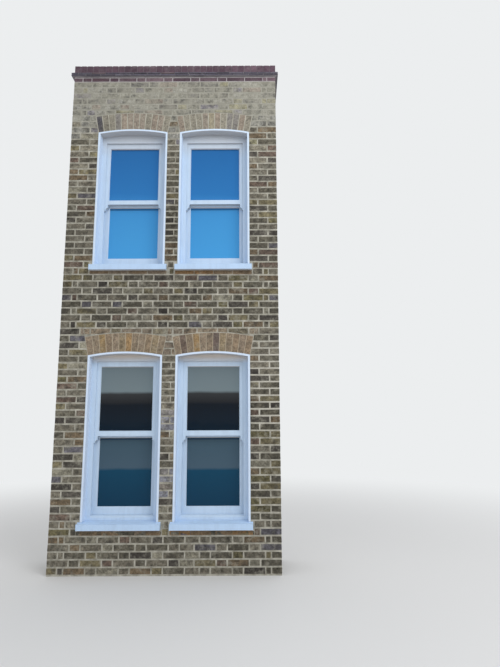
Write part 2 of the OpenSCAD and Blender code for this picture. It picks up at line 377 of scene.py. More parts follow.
@dataclass(frozen=True)
class LimeMortar(Finish):
    """Lime and sand mortar, struck with a trowel: sandy grains, weathered grey with
    pale repairs. It is washed pale near the top, and a patch at the right is repointed."""

    dark: str = "#7f7c71"
    pale: str = "#bdbaae"
    patch_mm: float = 85.0
    # real sand is about 1 mm, which wouldn't show
    sand_mm: float = 2.5
    washed: str = "#96958b"
    washed_share: float = 0.0
    washed_z: Span = (4.9, 5.1)
    repointed: str = "#d6d2c8"
    repointed_share: float = 0.0
    repointed_x: Span = (0.84, 0.98)
    repointed_z: float = 1.93
    repointed_reach: Span = (0.35, 0.55)

    def dress(self, tree: Tree, here: Socket) -> dict[str, object]:
        """Drifts between weathered and fresh mortar, with sand in the surface.

        Args:
            tree: the material's nodes.
            here: the output with the place on the object.

        Returns:
            What goes into the shader's sockets.
        """
        drift, sand = (
            add(
                tree,
                "TexNoise",
                {"Vector": here, "Scale": per_metre(grain), "Detail": detail, "Roughness": rough},
            ).outputs["Fac"]
            for grain, detail, rough in ((self.patch_mm, 6.0, 0.65), (self.sand_mm, 3.0, 0.7))
        )
        blend = add(tree, "Math", (sand, 0.35, drift), operation="MULTIPLY_ADD").outputs[0]
        stops = ((0.50, self.dark), (0.86, self.pale))
        colour = add(tree, "ValToRGB", (blend,), stops).outputs["Color"]
        place = add(tree, "SeparateXYZ", (here,)).outputs
        colour = veil(tree, colour, self.washed, place["Z"], self.washed_z, self.washed_share)
        right = add(tree, "MapRange", (place["X"], *self.repointed_x, 0.0, 1.0)).outputs["Result"]
        off = add(tree, "Math", (place["Z"], self.repointed_z), operation="SUBTRACT").outputs[0]
        away = add(tree, "Math", (off,), operation="ABSOLUTE").outputs[0]
        limits = (away, *self.repointed_reach, self.repointed_share, 0.0)
        level = add(tree, "MapRange", limits).outputs["Result"]
        fresh = add(tree, "Math", (right, level), operation="MULTIPLY").outputs[0]
        both = {0: fresh, 6: colour, 7: linear(self.repointed)}
        colour = add(tree, "Mix", both, data_type="RGBA").outputs[2]
        bump = add(tree, "Bump", {"Height": sand, "Strength": 0.7, "Distance": 0.0012})
        surface = {"Base Color": colour, "Normal": bump.outputs["Normal"]}
        return surface | {"Roughness": 0.95, "Specular IOR Level": 0.25}


@dataclass(frozen=True)
class BrushedPaint(Finish):
    """Oil or masonry paint put on by brush over wood, stone or render: a skin with brush marks, that greys
    with streaks of dirt. It has painted shade on its undersides and under a head."""

    # painted sky light: the white paint is written light blue, and its dirt streaks bluish grey, as the
    # sky's blue light shows them
    colour: str = "#c6daef"
    grime_and_shade: str = "#93a6ba"
    grime_and_shade_share: float = 0.25
    head: float = 100.0
    head_fall: float = 0.2
    # painted shade under a head, thickest at the head's height
    head_shade: str = "#aeb3b8"
    head_share: float = 0.75
    # painted shade on faces that look down
    underside_shade: str = "#bdb8b3"
    underside_shade_share: float = 0.85
    # a bristle's mark is under 1 mm, which wouldn't show
    brush_mm: float = 2.5
    grain_mm: float = 60.0
    relief: float = 0.0003
    roughness: float = 0.35

    def dress(self, tree: Tree, here: Socket) -> dict[str, object]:
        """Streaks the paint with dirt and brush marks, and paints shade on its undersides and under its
        head.

        Args:
            tree: the material's nodes.
            here: the output with the place on the object.

        Returns:
            What goes into the shader's sockets.
        """
        streaks, marks = (
            add(
                tree,
                "TexNoise",
                {
                    "Vector": add(tree, "Mapping", {"Vector": here, "Scale": (1.0, 1.0, drawn)}).outputs[0],
                    "Scale": per_metre(grain),
                    "Detail": detail,
                    "Roughness": rough,
                },
            ).outputs["Fac"]
            for drawn, grain, detail, rough in (
                (0.18, self.grain_mm, 6.0, 0.66),
                (0.07, self.brush_mm, 3.0, 0.6),
            )
        )
        normal = add(tree, "NewGeometry").outputs["Normal"]
        up, height = (add(tree, "SeparateXYZ", (way,)).outputs["Z"] for way in (normal, here))
        skin = linear(self.colour)
        for over, value, run, share in (
            (self.grime_and_shade, streaks, (0.45, 0.78), self.grime_and_shade_share),
            # painted shade: faces that look down are greyed, as if they got little light from below
            (self.underside_shade, up, (-0.25, -0.85), self.underside_shade_share),
            # painted shade under the head, where the arch's reveal keeps the light off
            (self.head_shade, height, (self.head - self.head_fall, self.head), self.head_share),
        ):
            skin = veil(tree, skin, over, value, run, share)
        bump = add(tree, "Bump", {"Height": marks, "Strength": 0.6, "Distance": self.relief})
        limits = (streaks, 0.3, 0.8, self.roughness, self.roughness + 0.2)
        rough = add(tree, "MapRange", limits).outputs["Result"]
        surface = {"Base Color": skin, "Roughness": rough, "Normal": bump.outputs["Normal"]}
        return surface | {"IOR": 1.5, "Specular IOR Level": 0.4}


@dataclass(frozen=True)
class FloatGlass(Finish):
    """Float glass, clear and hard, in front of a dark room: its colour is a painted reflection of the sky
    and the street, which changes over its height, and it has a bright reflection as well. It has painted
    shade under the head and right under the meeting rail."""

    low: float = 0.0
    high: float = 1.0
    drift: float = 0.03
    # painted reflection: its tones from the bottom of the panes to the top
    stops: tuple[tuple[float, str], ...] = ((0.0, "#4a94d0"), (1.0, "#3772ae"))
    shade: str = "#0c2a4a"
    shade_share: float = 0.0
    shade_fall: float = 0.02
    rail: float = 0.0
    rail_share: float = 0.55

    def dress(self, tree: Tree, here: Socket) -> dict[str, object]:
        """Paints the reflection of the sky and the street over the panes' height, with a soft drift and old
        glass's slight waves, and paints shade under the head and the meeting rail.

        Args:
            tree: the material's nodes.
            here: the output with the place on the object.

        Returns:
            What goes into the shader's sockets.
        """
        height = add(tree, "SeparateXYZ", (here,)).outputs["Z"]
        pattern = {"Vector": here, "Scale": per_metre(420.0), "Detail": 3.0, "Roughness": 0.5}
        drift = add(tree, "TexNoise", pattern).outputs["Fac"]
        moved = add(tree, "Math", (drift, self.drift, height), operation="MULTIPLY_ADD").outputs[0]
        limits = (moved, self.low + self.drift / 2, self.high + self.drift / 2, 0.0, 1.0)
        level = add(tree, "MapRange", limits).outputs["Result"]
        painted_reflection_and_shade = add(tree, "ValToRGB", (level,), self.stops).outputs["Color"]
        # painted shade under the head
        run = (self.high - self.shade_fall, self.high)
        painted_reflection_and_shade = veil(tree, painted_reflection_and_shade, self.shade, height, run, self.shade_share)
        # painted shade: a dark band just under the meeting rail
        half = self.shade_fall / 2
        band = add(tree, "Math", (height, self.rail - half, half), operation="COMPARE").outputs[0]
        behind = add(tree, "Math", (band, self.rail_share), operation="MULTIPLY").outputs[0]
        painted_reflection_and_shade = add(tree, "Mix", {0: behind, 6: painted_reflection_and_shade, 7: linear(self.shade)}, data_type="RGBA").outputs[2]
        bump = add(tree, "Bump", {"Height": drift, "Strength": 0.4, "Distance": 0.004})
        surface = {"Base Color": painted_reflection_and_shade, "Normal": bump.outputs["Normal"]}
        return surface | {"Roughness": 0.04, "IOR": 1.52, "Specular IOR Level": 0.14}


@dataclass(frozen=True)
class SheetLead(Finish):
    """Milled sheet lead dressed with a mallet: a dull grey patina with pale bloom and soft dents."""

    def dress(self, tree: Tree, here: Socket) -> dict[str, object]:
        """Clouds the lead from its dark patina to its pale bloom.

        Args:
            tree: the material's nodes.
            here: the output with the place on the object.

        Returns:
            What goes into the shader's sockets.
        """
        pattern = {"Vector": here, "Scale": per_metre(140.0), "Detail": 7.0, "Roughness": 0.6}
        clouds = add(tree, "TexNoise", pattern).outputs["Fac"]
        pattern = {"Vector": here, "Scale": per_metre(55.0), "Detail": 2.0}
        dents = add(tree, "TexNoise", pattern).outputs["Fac"]
        stops = ((0.32, "#5d6468"), (0.55, "#787f83"), (0.75, "#9aa0a2"))
        colour = add(tree, "ValToRGB", (clouds,), stops).outputs["Color"]
        bump = add(tree, "Bump", {"Height": dents, "Strength": 0.5, "Distance": 0.004})
        surface = {"Base Color": colour, "Normal": bump.outputs["Normal"]}
        return surface | {"Metallic": 0.35, "Roughness": 0.6}


@dataclass(frozen=True)
class SawnPine(Finish):
    """Sawn and planed softwood, darkened by age: long grain with darker late wood."""

    pale: str = "#a98a62"
    dark: str = "#6f5334"
    along: Point = (0.05, 1.0, 1.0)

    def dress(self, tree: Tree, here: Socket) -> dict[str, object]:
        """Draws the grain along the boards, over each board's own tone.

        Args:
            tree: the material's nodes.
            here: the output with the place on the object.

        Returns:
            What goes into the shader's sockets.
        """
        run = add(tree, "Mapping", {"Vector": here, "Scale": self.along}).outputs["Vector"]
        pattern = {"Vector": run, "Scale": per_metre(9.0), "Detail": 6.0, "Roughness": 0.7}
        grain = add(tree, "TexNoise", pattern | {"Distortion": 0.4}).outputs["Fac"]
        stops = ((0.33, self.dark), (0.62, self.pale))
        wood = add(tree, "ValToRGB", (grain,), stops).outputs["Color"]
        tone = add(tree, "Attribute", attribute_name="tone").outputs["Color"]
        both = {0: 0.8, 6: wood, 7: tone}
        colour = add(tree, "Mix", both, data_type="RGBA", blend_type="MULTIPLY").outputs[2]
        bump = add(tree, "Bump", {"Height": grain, "Strength": 0.5, "Distance": 0.0008})
        return {"Base Color": colour, "Normal": bump.outputs["Normal"], "Roughness": 0.7}


@dataclass(frozen=True)
class RoomPlaster(Finish):
    """Trowelled lime plaster under distemper: matt off-white with faint float marks."""

    def dress(self, tree: Tree, here: Socket) -> dict[str, object]:
        """Clouds the distemper and waves the surface as a trowel leaves it.

        Args:
            tree: the material's nodes.
            here: the output with the place on the object.

        Returns:
            What goes into the shader's sockets.
        """
        pattern = {"Vector": here, "Scale": per_metre(260.0), "Detail": 6.0, "Roughness": 0.6}
        clouds = add(tree, "TexNoise", pattern).outputs["Fac"]
        stops = ((0.3, "#c9c4b5"), (0.7, "#dfdbcf"))
        colour = add(tree, "ValToRGB", (clouds,), stops).outputs["Color"]
        bump = add(tree, "Bump", {"Height": clouds, "Strength": 0.5, "Distance": 0.003})
        return {"Base Color": colour, "Normal": bump.outputs["Normal"], "Roughness": 0.9}


@dataclass(frozen=True)
class StudioFloor(Finish):
    """Pale studio floor that fades into the backdrop some metres from the object."""

    colour: str = "#d9dadb"
    far: str = "#eceeef"
    fades: Span = (2.5, 9.0)

    def dress(self, tree: Tree, here: Socket) -> dict[str, object]:
        """Keeps the shadow near the object, and shows the backdrop's colour far from it.

        Args:
            tree: the material's nodes.
            here: the output with the place on the object.

        Returns:
            What goes into the shader's sockets.
        """
        out = add(tree, "VectorMath", (here,), operation="LENGTH").outputs["Value"]
        limits = (out, *self.fades, 0.0, 1.0)
        fade = add(tree, "MapRange", limits, interpolation_type="SMOOTHSTEP").outputs["Result"]
        seen = add(tree, "LightPath").outputs["Is Camera Ray"]
        share = add(tree, "Math", (fade, seen), operation="MULTIPLY").outputs[0]
        glow = add(tree, "Emission", {"Color": linear(self.far), "Strength": 1.0}).outputs["Emission"]
        floor = tree.nodes["Principled BSDF"].outputs["BSDF"]
        mixed = add(tree, "MixShader", (share, floor, glow)).outputs["Shader"]
        connect(tree, tree.nodes["Material Output"], {"Surface": mixed})
        return {"Base Color": linear(self.colour), "Roughness": 0.9}


@dataclass(frozen=True)
class Palette:
    """Tones of a batch of bricks or boards, each with how often it turns up."""

    tones: tuple[tuple[str, float], ...]
    spread: float = 0.10

    def pick(self, rng: random.Random, shade: float = 1.0) -> Colour:
        """Picks one brick's tone.

        Args:
            rng: the piece's own random numbers.
            shade: how light the bricks are in this place.

        Returns:
            The linear colour of the brick.
        """
        names, weights = zip(*self.tones)
        red, green, blue, _ = linear(rng.choices(names, weights)[0])
        gain = shade * rng.uniform(1 - self.spread, 1 + self.spread)
        return red * gain, green * gain, blue * gain, 1.0


STOCKS = Palette(
    (("#706b5f", 4.5), ("#676357", 4), ("#7c776a", 3), ("#5f5b50", 3.5), ("#7a7259", 2.5),
     ("#726451", 2.3), ("#6b5c52", 1.8), ("#6d674d", 1.5), ("#54504a", 2), ("#47433f", 0.8),
     ("#8a8677", 1.5), ("#636167", 0.6)),
    0.07,
)
WASHED_STOCKS = Palette(
    (("#86857c", 5), ("#908f88", 4), ("#7a7973", 4), ("#8d8970", 3), ("#6c6b69", 1.5),
     ("#827f84", 1), ("#8b8178", 1)),
    0.05,
)
STAINED = Palette((("#8a6f50", 3), ("#756352", 3), ("#665c54", 2), ("#92784f", 1)))
BEDDING = Palette((("#7c6a55", 3), ("#7f7161", 2), ("#876b4c", 1.5)), 0.08)
BLOOMED = Palette((("#85868f", 3), ("#7d7a79", 2), ("#736d66", 2)), 0.08)
COLOUR_WASHED = Palette((("#7f7466", 4), ("#8a7c6a", 3), ("#77705f", 3), ("#6b6458", 1)), 0.05)
TAN_ARCH = Palette(
    (("#908b7e", 4), ("#98907c", 3), ("#94887b", 2), ("#898580", 2), ("#958b7f", 2),
     ("#a08e70", 1.5)),
    0.05,
)
ORANGE_ARCH = Palette(
    (("#8e7f6d", 4), ("#908169", 3), ("#867866", 3), ("#8b7a66", 2), ("#827566", 2),
     ("#6e6158", 1)),
    0.05,
)
REDS = Palette(
    (("#6a5860", 4), ("#604d55", 4), ("#75636a", 3), ("#57464f", 2), ("#7d6c6c", 1)), 0.06
)
COPING_REDS = Palette(
    (("#5a4752", 4), ("#574550", 4), ("#5e4b56", 3), ("#53414c", 2), ("#62505a", 1)), 0.02
)
TILES = Palette((("#625f6c", 4), ("#6e6b77", 3), ("#56535e", 3), ("#75686d", 1.5)), 0.06)
BOARDS = Palette((("#f2e6d0", 2), ("#d9c8ae", 2), ("#fff4e0", 1)), 0.05)

STOCK_BRICK = FiredClay("london_stock_brick")
ARCH_BRICK = FiredClay(
    "cut_arch_brick",
    soot_share=0.2,
    scorch_share=0.35,
    lime_share=0.3,
    washed=(4.9, 6.0),
    mottle=0.24,
    pit_mm=6.0,
    relief=0.0014,
)
RED_BRICK = FiredClay(
    "pressed_red_brick",
    soot="#3c383c",
    soot_share=0.3,
    scorch_share=0.3,
    lime="#8f888a",
    lime_share=0.3,
    washed=(8.0, 9.0),
    mottle=0.2,
    speckle=0.2,
    pit_mm=5.0,
    relief=0.0012,
)
CREASING_TILE = replace(
    RED_BRICK,
    name="plain_clay_tile",
    soot="#3a3a3c",
    soot_share=0.4,
    lime="#8a8890",
    lime_share=0.4,
    relief=0.001,
)
WALL_MORTAR = LimeMortar("lime_mortar", washed_share=0.55, repointed_share=0.4)
ARCH_MORTAR = LimeMortar("fine_lime_putty", "#9a978a", "#bebbae", 120.0)
WASHED_MORTAR = LimeMortar("colour_washed_lime_putty", "#9e9280", "#bbae9a", 120.0)
RED_MORTAR = LimeMortar("pale_lime_mortar", "#989396", "#bdb8b8", 120.0)
COPING_MORTAR = LimeMortar("cement_pointing", "#5b4f58", "#776b72", 150.0)
CREASING_MORTAR = LimeMortar("tile_bedding_mortar", "#79747a", "#9c979a", 150.0)
JOINERY_PAINT = BrushedPaint("white_gloss_paint")
# painted shade under the heads: each storey's grey and its share for the sashes and box frames
GROUND_HEAD_PAINT, FIRST_HEAD_PAINT = (
    BrushedPaint(
        f"white_gloss_paint_of_{storey}", head=top, head_fall=fall, head_shade=grime_and_shade, head_share=share
    )
    for storey, top, fall, grime_and_shade, share in (
        ("ground_floor", 2.26, 0.075, "#d9cdc1", 0.92),
        ("first_floor", 4.91, 0.27, "#c1c3c7", 0.85),
    )
)
# painted sky light: the white masonry paint is written light blue too
SILL_PAINT = BrushedPaint(
    "white_masonry_paint_on_stone", "#bdd7f5", brush_mm=4.0, relief=0.0008, roughness=0.6
)
# lit copies: the ground floor's render paint is written a little lighter than the first floor's, as painted
# light on reveals that the lamp lights less
GROUND_RENDER_PAINT, FIRST_RENDER_PAINT = (
    replace(SILL_PAINT, name=f"white_masonry_paint_on_{storey}_render", colour=colour, grime_and_shade_share=0.15)
    for storey, colour in (("ground_floor", "#d6e6fb"), ("first_floor", "#d3e4f8"))
)
ROOM_PAINT = BrushedPaint(
    "white_eggshell_paint", "#d9d8d2", "#b8b4a8", 0.2, underside_shade="#c9c6be", roughness=0.45
)
# painted reflection of the sky, lighter low down and darker high up
SKY_GLASS = FloatGlass(
    "first_floor_float_glass",
    low=3.41,
    high=4.76,
    drift=0.10,
    stops=((0.0, "#489ed8"), (0.42, "#4193d0"), (0.50, "#3682c2"), (0.58, "#2b74b5"), (1.0, "#2468a7")),
    shade_share=0.8,
    shade_fall=0.024,
    rail=4.037,
)
# painted reflection of the street: bands of dark teal, grey and near black, pale grey at the top
STREET_GLASS = FloatGlass(
    "ground_floor_float_glass",
    low=0.65,
    high=2.15,
    stops=((0.0, "#093750"), (0.25, "#10435d"), (0.27, "#475c6b"), (0.48, "#415866"), (0.53, "#071c2b"),
           (0.72, "#0a141f"), (0.74, "#222428"), (0.80, "#343638"), (0.82, "#738186"), (1.0, "#6c7a80")),
    rail=1.370,
)


def keep(piece: bpy.types.Object, slot: str, *nodes: str) -> bpy.types.Object:
    """Puts a piece on the bay in the place of its nodes.

    Args:
        piece: the finished piece.
        slot: the material slot that it would take its finish from; it is not used.
        *nodes: the nodes that it stands for.

    Returns:
        The piece.
    """
    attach(piece, "root")
    if nodes:
        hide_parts(*nodes)
    LOG.info("%s: %d faces", piece.name, len(piece.data.polygons))
    return piece


def as_object(mesh: bmesh.types.BMesh, name: str, finish: Finish) -> bpy.types.Object:
    """Turns a mesh in the making to an object at the origin, with its finish.

    Args:
        mesh: the mesh, which is used up.
        name: the object's name.
        finish: its finish.

    Returns:
        The object.
    """
    data = bpy.data.meshes.new(name)
    mesh.to_mesh(data)
    mesh.free()
    data.materials.append(finish.material())
    made = bpy.data.objects.new(name, data)
    bpy.context.scene.collection.objects.link(made)
    return made


def cut(mesh: bmesh.types.BMesh, point: Sequence[float], side: Sequence[float], drop: bool) -> None:
    """Cuts a mesh on a plane.

    Args:
        mesh: the mesh.
        point: a point of the plane.
        side: the way that the plane faces.
        drop: whether what lies in front of the plane falls away.
    """
    bmesh.ops.bisect_plane(
        mesh,
        geom=mesh.verts[:] + mesh.edges[:] + mesh.faces[:],
        dist=1e-6,
        plane_co=point,
        plane_no=side,
        clear_outer=drop,
    )


def merge(part: bmesh.types.BMesh, mesh: bmesh.types.BMesh) -> int:
    """Adds a part to a joined mesh.

    Args:
        part: the part, which is used up.
        mesh: the joined mesh.

    Returns:
        How many corners the part has.
    """
    loose = bpy.data.meshes.new("loose")
    part.to_mesh(loose)
    part.free()
    mesh.from_mesh(loose)
    corners = len(loose.vertices)
    bpy.data.meshes.remove(loose)
    return corners


@dataclass
class BrickBed:
    """Lays bricks, tiles or boards into one joined mesh, each with its own shape and tone."""

    name: str
    seed: int
    finish: Finish
    wander: float = 0.0015
    arris: Span = (0.0025, 0.0050)
    least: float = 0.014
    mesh: bmesh.types.BMesh = field(default_factory=bmesh.new)
    tones: list[float] = field(default_factory=list)
    laid: int = 0

    def __post_init__(self) -> None:
        """Starts the piece's own random numbers."""
        self.rng = random.Random(self.seed)

    def lay(
        self,
        start: Point,
        end: Point,
        tone: Colour,
        bed: Point | None = None,
        cuts: Sequence[Cut] = (),
        splay: bool = False,
        place: Matrix | None = None,
    ) -> None:
        """Lays one brick.

        Args:
            start: one of its corners.
            end: the corner across from it.
            tone: its colour.
            bed: the direction in which it goes into the wall, or None where all its
                arrises show.
            cuts: planes that it is cut on, each with the side that falls away.
            splay: whether its sides run towards the centre of an arch, at z = 0.
            place: where it goes in the end.
        """
        brick = bmesh.new()
        low, high = (Vector(map(pick, start, end)) for pick in (min, max))
        size = high - low
        middle = (high + low) / 2
        whole = Matrix.Translation(middle) @ Matrix.Diagonal((*size, 1.0))
        bmesh.ops.create_cube(brick, size=1.0, matrix=whole)
        for vert in brick.verts:
            for axis in range(3):
                inwards = 1 if vert.co[axis] < middle[axis] else -1
                vert.co[axis] += inwards * self.rng.uniform(0, self.wander)
            if splay:
                vert.co.x *= vert.co.z / middle.z
        for point, side in cuts:
            cut(brick, point, side, True)
            rim = [edge for edge in brick.edges if edge.is_boundary]
            if rim:
                bmesh.ops.holes_fill(brick, edges=rim, sides=0)
        if self.is_whole(brick):
            edges = brick.edges[:]
            if bed is not None:
                into = Vector(bed)
                shown = middle.dot(into)
                edges = [e for e in edges if all(v.co.dot(into) < shown for v in e.verts)]
            bmesh.ops.bevel(
                brick,
                geom=edges,
                offset=self.rng.uniform(*self.arris),
                offset_type="OFFSET",
                segments=2,
                profile=0.5,
                affect="EDGES",
                clamp_overlap=True,
                material=-1,
            )
            if place is not None:
                bmesh.ops.transform(brick, matrix=place, verts=brick.verts[:])
            self.tones.extend(tone * merge(brick, self.mesh))
            self.laid += 1
        else:
            brick.free()

    def is_whole(self, brick: bmesh.types.BMesh) -> bool:
        """Says whether what the cuts left of a brick is worth laying.

        Args:
            brick: the brick after its cuts.

        Returns:
            Whether it is wide enough every way.
        """
        if not brick.verts:
            return False
        spans = (
            max(v.co[axis] for v in brick.verts) - min(v.co[axis] for v in brick.verts)
            for axis in range(3)
        )
        return min(spans) > self.least

    def piece(self) -> bpy.types.Object:
        """Makes the joined mesh an object, with each brick's tone in an attribute.

        Returns:
            The object, at the origin.
        """
        bmesh.ops.recalc_face_normals(self.mesh, faces=self.mesh.faces[:])
        made = as_object(self.mesh, self.name, self.finish)
        tone = made.data.attributes.new("tone", "FLOAT_COLOR", "POINT")
        tone.data.foreach_set("color", self.tones)
        LOG.info("%s: %d laid", self.name, self.laid)
        return made


@dataclass
class MortarCore:
    """The mass behind the bricks: a wall's own solid, with its faces sunk to the depth
    of the joints."""

    name: str
    nodes: tuple[str, ...]
    slot: str
    finish: Finish
    recess: float = BAY.recess
    out: float = 0.0
    step: float = 0.001
    lap: float = 0.02
    clear: float = 0.001

    def sunk(self, co: Vector) -> Vector:
        """Moves a point of a face that has bricks in front of it to the depth of the joints.

        Args:
            co: the point on the solid.

        Returns:
            The point on the core.
        """
        x, y, z = co
        side = math.copysign(1.0, x)
        inside = z > BAY.lead_top + self.step
        if abs(y - (BAY.face - self.out)) < TOUCH:
            y += self.recess
        elif abs(y - BAY.house) < TOUCH:
            y -= self.recess
        elif abs(y - (BAY.back + self.out)) < TOUCH and inside:
            y -= self.recess
        if abs(abs(x) - (BAY.half + self.out)) < TOUCH:
            x -= side * self.recess
        elif abs(abs(x) - (BAY.inner - self.out)) < TOUCH and inside:
            x += side * self.recess
        if abs(z - BAY.top) < TOUCH:
            z -= self.recess
        return Vector((x, y, z))

    def build(self) -> bpy.types.Object:
        """Makes the core of copies of its nodes.

        Returns:
            The core.
        """
        mesh = bmesh.new()
        for node in self.nodes:
            part = bmesh.new()
            part.from_mesh(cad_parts[node].data)
            bmesh.ops.remove_doubles(part, verts=part.verts[:], dist=WELD)
            for level in (BAY.lead_top + self.step / 2, BAY.lead_top + self.step * 1.5):
                cut(part, (0, 0, level), (0, 0, 1), False)
            for vert in part.verts:
                tucked = "return" in node and abs(vert.co.y - BAY.back) < TOUCH
                vert.co = self.sunk(vert.co)
                if tucked:
                    vert.co.y -= self.lap
                    vert.co.x -= math.copysign(self.clear, vert.co.x)
            merge(part, mesh)
        bmesh.ops.recalc_face_normals(mesh, faces=mesh.faces[:])
        return keep(as_object(mesh, self.name, self.finish), self.slot, *self.nodes)


@dataclass(frozen=True)
class Stretch:
    """A brick's place in a course of the front."""

    x0: float
    x1: float
    z0: float
    z1: float
    cuts: tuple[Cut, ...] = ()

    def corners(self) -> tuple[Span, ...]:
        """Gives the four corners of the brick's face."""
        return tuple((x, z) for x in (self.x0, self.x1) for z in (self.z0, self.z1))


def at_height(rows: Sequence[Sequence[float]], z: float) -> Iterator[float]:
    """Reads a table of heights at any height.

    Args:
        rows: a height and its values in each row, in rising order.
        z: the height.

    Yields:
        Each value at that height.
    """
    for (z0, *low), (z1, *high) in zip(rows, rows[1:]):
        if z0 <= z < z1:
            part = (z - z0) / (z1 - z0)
            yield from (a + (b - a) * part for a, b in zip(low, high))


@dataclass
class BayBrickwork:
    """The bay's brick walls in Flemish bond, from the ground to the coping."""

    brick_lengths: dict[str, float] = field(
        default_factory=lambda: {"S": 0.2145, "H": 0.1025, "T": 0.1400, "Q": 0.0500}
    )
    red_lengths: dict[str, float] = field(
        default_factory=lambda: {"S": 0.2065, "H": 0.0985, "Q": 0.0420}
    )
    odd_course: str = "HQSHSHSHSTHSHSQH"
    even_course: str = "SHSHSHSHTSHSHS"
    red_course: str = "HHSHSHSHSHSHSSQH"
    courses: int = 75
    skin: float = 0.020
    arch_joint: float = 0.008
    sill_joint: float = 0.014
    pale_from: float = 4.75
    pale_over: float = 0.42
    # places with a batch of their own, by height and by how far from the middle
    own_batches: tuple[tuple[Palette, Span, Span], ...] = (
        (STAINED, (3.164, 3.224), (0.05, 0.90)),
        (COLOUR_WASHED, (2.45, 2.58), (0.0, 0.95)),
        (COLOUR_WASHED, (Storey.GROUND.spring, 2.58), (0.0, 0.12)),
        (BLOOMED, (0.80, 1.10), (0.0, 0.08)),
        (BLOOMED, (1.45, 1.70), (0.0, 0.08)),
    )
    # how much lighter the red course gets for each metre to the right
    red_fade: float = 0.12
    patches: float = 1.4
    patch_gain: float = 0.10
    pier_joint: float = 0.0115
    wander: float = 0.0028
    red_top: float = 0.014
    slip_t: float = 0.02
    slip_gap: float = 0.002
    slip_in: float = 0.0005
    # how far over a sill a course ends that still goes round the sill
    sill_lap: float = 0.01
    # the courses of the piers start and end so far over the sills and the springings
    pier_rows: Span = (0.02, 0.20)
    # the least width and height of what a window leaves of a brick
    least: Span = (0.02, 0.035)
    # where a return's bricks lie behind the face, in its even courses and its odd ones, and
    # how deep those at the cut go in
    return_flats: tuple[tuple[Span, ...], ...] = (
        ((0.2265, 0.332),),
        ((0.115, 0.163), (0.175, 0.3895), (0.4015, 0.507)),
    )
    return_ends: tuple[tuple[Point, ...], ...] = (
        ((0.344, 0.0, 0.1025), (0.344, 0.1145, BAY.wall)),
        ((0.519, 0.0, BAY.wall),),
    )
    well_flats: tuple[Span, ...] = ((0.237, 0.332), (0.344, 0.447), (0.459, 0.507))
    well_courses: tuple[str, str] = ("HSHSHSHSHSH", "SHSHSHSHSHS")
    well_gap: float = 0.005
    # height, then how light the bricks are at the left, in the middle and at the right
    lightness_by_height: tuple[tuple[float, ...], ...] = (
        (0.00, 0.92, 0.92, 0.72),
        (0.90, 0.98, 0.95, 0.72),
        (1.45, 1.02, 1.06, 0.70),
        (1.90, 0.95, 1.10, 0.82),
        (2.15, 1.06, 1.05, 0.98),
        (2.45, 0.95, 1.05, 1.00),
        (2.60, 0.78, 0.77, 0.83),
        (2.85, 0.63, 0.67, 0.79),
        (3.10, 0.63, 0.69, 0.79),
        (3.28, 0.86, 0.76, 0.86),
        (3.60, 0.84, 0.54, 0.82),
        (3.75, 0.86, 0.42, 0.86),
        (3.97, 0.78, 0.46, 0.86),
        (4.24, 0.90, 0.68, 0.96),
        (4.50, 1.04, 0.84, 1.06),
        (4.75, 1.06, 1.00, 1.02),
        (4.95, 1.04, 1.00, 0.94),
        (5.10, 0.98, 0.98, 1.00),
        (6.00, 1.00, 1.02, 1.06),
    )
    # the old courses aren't level: height, then the rise of their beds at the left and the right
    bed_rises: tuple[Point, ...] = (
        (0.0, 0.010, 0.010),
        (0.95, 0.015, 0.016),
        (1.60, 0.028, 0.032),
        (2.20, 0.009, 0.013),
        (3.10, 0.031, 0.013),
        (3.60, 0.036, 0.020),
        (4.30, 0.026, 0.008),
        (4.60, 0.018, 0.008),
        (5.00, 0.025, 0.023),
        (5.55, 0.010, 0.010),
        (6.00, 0.010, 0.010),
    )

    def units(
        self, letters: str, start: float, end: float, brick_lengths: dict[str, float] | None = None
    ) -> Iterator[Span]:
        """Divides a course into bricks, with its joints stretched to fit.

        Args:
            letters: S for a stretcher, H for a header, T for a three-quarter bat and Q
                for a closer, in order.
            start: where the first brick starts.
            end: where the last brick ends.
            brick_lengths: the length that each letter stands for, or None for the stocks'.

        Yields:
            The start and end of each brick.
        """
        lengths = [(brick_lengths or self.brick_lengths)[letter] for letter in letters]
        joint = (end - start - sum(lengths)) / max(len(letters) - 1, 1)
        for length in lengths:
            yield start, start + length
            start += length + joint

    def pier_places(self, level: int) -> Iterator[Span]:
        """Divides a course beside the windows into bricks, without closers.

        Args:
            level: the course's number, from 0 at the ground.

        Yields:
            The start and end of each brick.
        """
        near, far = BAY.window_x - BAY.opening / 2, BAY.window_x + BAY.opening / 2
        split = BAY.half - self.brick_lengths["S" if level % 2 else "H"]
        yield -BAY.half, -split
        yield -split + self.pier_joint, -far
        if level % 5 in (0, 3):
            yield -near, near - self.brick_lengths["Q"]
            yield near - self.brick_lengths["Q"] + self.pier_joint / 2, near
        else:
            yield -near, near
        yield far, split - self.pier_joint
        yield split, BAY.half

    def places(self, level: int) -> list[Span]:
        """Divides a course of the front into bricks.

        Args:
            level: the course's number, from 0 at the ground.

        Returns:
            The start and end of each brick.
        """
        if level == self.courses - 1:
            return list(self.units(self.red_course, -BAY.half, BAY.half, self.red_lengths))
        middle = self.bed(level, 0.0) + BAY.gauge / 2
        first, last = self.pier_rows
        if any(storey.sill + first < middle < storey.spring + last for storey in Storey):
            return list(self.pier_places(level))
        letters = self.even_course if level % 2 else self.odd_course
        return list(self.units(letters, -BAY.half, BAY.half))

    def bed(self, level: int, x: float) -> float:
        """Finds the middle of the bed joint under a course.

        Args:
            level: the course's number, from 0 at the ground.
            x: the place across the front.

        Returns:
            The height of the joint.
        """
        z = level * BAY.gauge
        across = (x + BAY.half) / (2 * BAY.half)
        left, right = at_height(self.bed_rises, z)
        return z + left + (right - left) * across

